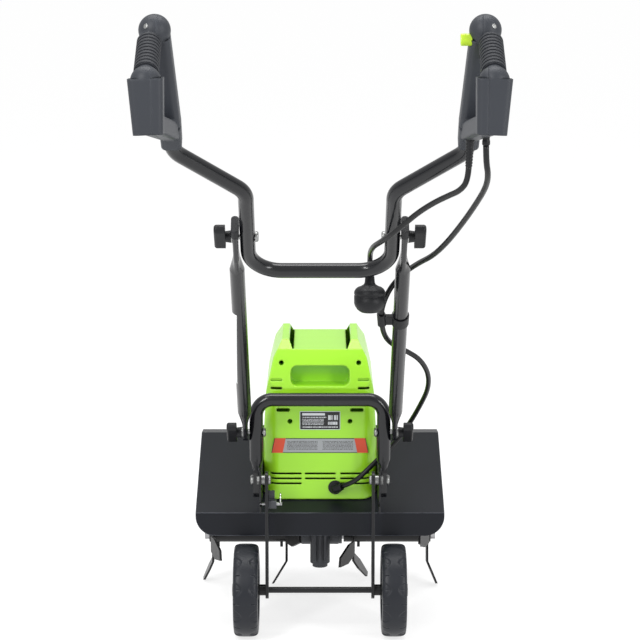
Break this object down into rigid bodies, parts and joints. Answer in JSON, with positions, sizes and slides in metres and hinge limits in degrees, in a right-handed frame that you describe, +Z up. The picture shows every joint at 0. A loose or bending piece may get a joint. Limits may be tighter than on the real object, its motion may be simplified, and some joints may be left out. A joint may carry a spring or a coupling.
{
  "type": "corded electric tiller",
  "caption": "Corded garden tiller: folding tube handle with D grips, tall motor housing, tine guard, four tine stars on a worm-driven shaft and a swinging wheel bracket.",
  "frame": {"origin": "on the ground, under the middle of the machine's bounding box", "axes": "+Z up, +Y ahead (the way the tines pull), +X to the operator's right"},
  "size_m": [0.479, 1.0212, 1.026],
  "materials": {
    "green": "moulded, satin gloss",
    "green_accent": "moulded, gloss",
    "black_tube": "gloss powder coat",
    "black_sheet": "satin powder coat",
    "frame_black": "satin powder coat",
    "tine_black": "black enamel over steel",
    "grip_grey": "fine-textured moulding",
    "black_plastic": "moulded",
    "soft_rubber": "matt",
    "tyre_rubber": "matt, moulded lugs",
    "zinc_steel": "zinc plated",
    "bright_steel": "polished",
    "steel": "machined",
    "gear_case_grey": "grey painted casting",
    "bronze": "hobbed bronze",
    "core_steel": "laminated",
    "copper": "commutator copper",
    "cord_black": "satin sheath"
  },
  "bodies": {
    "chassis": {"tine_guard": "black_sheet", "rear_housing": "green", "front_housing": "green", "motor_cable_gland": "black_plastic", "chassis_plates": "frame_black", "lower_handle": "black_tube", "handle_foot_bolts": "zinc_steel", "lower_knob_bolts": "zinc_steel", "arm_pivot_bolts": "zinc_steel", "gear_case_left_half": "gear_case_grey", "gear_case_right_half": "gear_case_grey", "gear_case_screws": "zinc_steel", "ball_bearings": "steel", "shaft_seals": "soft_rubber", "motor_frame": "gear_case_grey", "motor_stator": "core_steel", "brush_holders": "copper", "housing_screws": "zinc_steel"},
    "middle_handle": {"left_middle_bar": "black_tube", "right_middle_bar": "black_tube", "bar_end_caps": "black_plastic", "cable_clip": "black_plastic", "motor_cable_lower": "cord_black"},
    "upper_handle": {"upper_handle": "black_tube", "upper_knob_bolts": "zinc_steel", "left_grip_shells": "grip_grey", "right_grip_inner_shell": "grip_grey", "right_grip_outer_shell": "grip_grey", "grip_sleeves": "soft_rubber", "power_switch": "black_plastic", "grip_springs": "steel", "handle_cable_reliefs": "black_plastic", "pigtail": "cord_black", "plug": "black_plastic", "motor_cable_upper": "cord_black"},
    "left_lower_knob": {"left_lower_knob": "black_plastic"},
    "right_lower_knob": {"right_lower_knob": "black_plastic"},
    "left_upper_knob": {"left_upper_knob": "black_plastic"},
    "right_upper_knob": {"right_upper_knob": "black_plastic"},
    "trigger": {"trigger": "green_accent"},
    "lockout_button": {"lockout_button": "green_accent"},
    "wheel_bracket": {"wheel_frame": "frame_black", "axle_washers": "zinc_steel", "plunger_housing": "gear_case_grey", "plunger_spring": "steel"},
    "stop_plunger": {"stop_plunger": "steel", "plunger_pull_ring": "bright_steel"},
    "left_wheel": {"left_wheel_rim": "black_plastic", "left_tyre": "tyre_rubber"},
    "right_wheel": {"right_wheel_rim": "black_plastic", "right_tyre": "tyre_rubber"},
    "tine_shaft": {"tine_shaft": "steel", "tine_hubs_and_pins": "tine_black", "inner_tines": "tine_black", "outer_tines": "tine_black", "worm_wheel": "bronze"},
    "rotor": {"rotor_shaft": "steel", "armature": "core_steel", "commutator": "copper", "cooling_fan": "black_plastic"}
  },
  "joints": [
    {"name": "middle_fold", "type": "hinge", "parent": "chassis", "child": "middle_handle", "pos_m": [0, 0.19642, 0.327], "axis": [1, 0, 0], "range_deg": [-85, 0], "deforming": ["motor_cable_lower"]},
    {"name": "upper_fold", "type": "hinge", "parent": "middle_handle", "child": "upper_handle", "pos_m": [0, -0.15609, 0.70108], "axis": [1, 0, 0], "range_deg": [-155, 0], "deforming": ["motor_cable_upper"]},
    {"name": "left_lower_knob_spin", "type": "hinge", "parent": "chassis", "child": "left_lower_knob", "pos_m": [-0.1385, 0.19642, 0.327], "axis": [1, 0, 0], "continuous": true},
    {"name": "right_lower_knob_spin", "type": "hinge", "parent": "chassis", "child": "right_lower_knob", "pos_m": [0.1385, 0.19642, 0.327], "axis": [1, 0, 0], "continuous": true},
    {"name": "left_upper_knob_spin", "type": "hinge", "parent": "upper_handle", "child": "left_upper_knob", "pos_m": [-0.1385, -0.15609, 0.70108], "axis": [1, 0, 0], "continuous": true},
    {"name": "right_upper_knob_spin", "type": "hinge", "parent": "upper_handle", "child": "right_upper_knob", "pos_m": [0.1385, -0.15609, 0.70108], "axis": [1, 0, 0], "continuous": true},
    {"name": "trigger_pull", "type": "hinge", "parent": "upper_handle", "child": "trigger", "pos_m": [0.212, -0.3985, 0.98519], "axis": [1, 0, 0], "range_deg": [-8, 0], "stiffness_Nm_per_rad": 0.8, "springref_deg": 20.05, "deforming": ["grip_springs"]},
    {"name": "button_press", "type": "slide", "parent": "upper_handle", "child": "lockout_button", "axis": [1, 0, 0], "range_m": [0, 0.003], "stiffness_N_per_m": 500, "springref_m": -0.004, "deforming": ["grip_springs"]},
    {"name": "bracket_swing", "type": "hinge", "parent": "chassis", "child": "wheel_bracket", "pos_m": [0, 0.15742, 0.258], "axis": [1, 0, 0], "range_deg": [-40, 0]},
    {"name": "plunger_pull", "type": "slide", "parent": "wheel_bracket", "child": "stop_plunger", "axis": [1, 0, 0], "range_m": [0, 0.007], "stiffness_N_per_m": 400, "springref_m": -0.01, "deforming": ["plunger_spring"]},
    {"name": "left_wheel_spin", "type": "hinge", "parent": "wheel_bracket", "child": "left_wheel", "pos_m": [-0.119, 0.15342, 0.075], "axis": [1, 0, 0], "continuous": true},
    {"name": "right_wheel_spin", "type": "hinge", "parent": "wheel_bracket", "child": "right_wheel", "pos_m": [0.119, 0.15342, 0.075], "axis": [1, 0, 0], "continuous": true},
    {"name": "tine_spin", "type": "hinge", "parent": "chassis", "child": "tine_shaft", "pos_m": [0, 0.42142, 0.09], "axis": [1, 0, 0], "continuous": true},
    {"name": "rotor_spin", "type": "hinge", "parent": "chassis", "child": "rotor", "pos_m": [0, 0.38442, 0.352], "axis": [0, 0, 1], "continuous": true}
  ],
  "couplings": [
    {"joint": "rotor_spin", "follows": "tine_spin", "ratio": 28}
  ]
}
